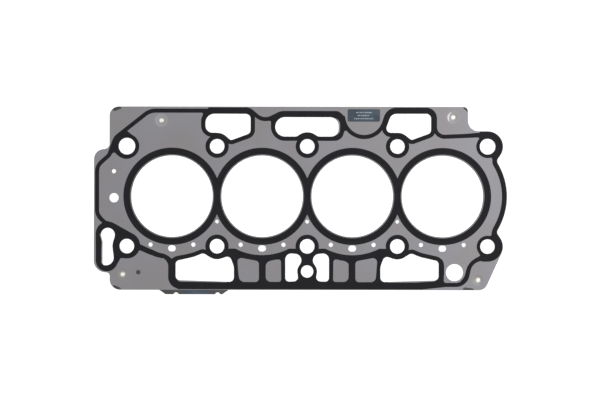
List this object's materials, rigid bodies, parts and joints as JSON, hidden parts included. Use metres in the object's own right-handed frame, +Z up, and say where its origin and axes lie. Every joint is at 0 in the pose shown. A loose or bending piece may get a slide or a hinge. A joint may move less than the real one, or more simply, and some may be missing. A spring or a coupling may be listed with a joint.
{
  "type": "cylinder head gasket",
  "caption": "Flat multi-layer steel head gasket with a row of bores, bolt holes, oil and coolant openings, a black sealing print and a notched tab.",
  "frame": {"origin": "middle of the rectangle of the four inner bolt holes, on the lower sheet's outer face", "axes": "+X along the row of bores away from the oil return, +Y towards the side with the dowel holes, +Z up through the layers from the block to the head"},
  "size_m": [0.3802, 0.1728, 0.0019],
  "materials": {
    "sheet": "dull cold-rolled spring steel",
    "spacer": "dark blue-grey plated sheet steel",
    "print": "satin black elastomer print",
    "rivet": "bright plated rivet head",
    "stopper": "dull sheet steel"
  },
  "bodies": {
    "root": {"lower_layer": "sheet", "spacer_layer": "spacer", "upper_layer": "sheet", "bore_print": "print", "outer_print": "print", "rivets": "rivet", "stopper_ring_1": "stopper", "stopper_ring_2": "stopper", "stopper_ring_3": "stopper", "stopper_ring_4": "stopper"}
  },
  "joints": []
}
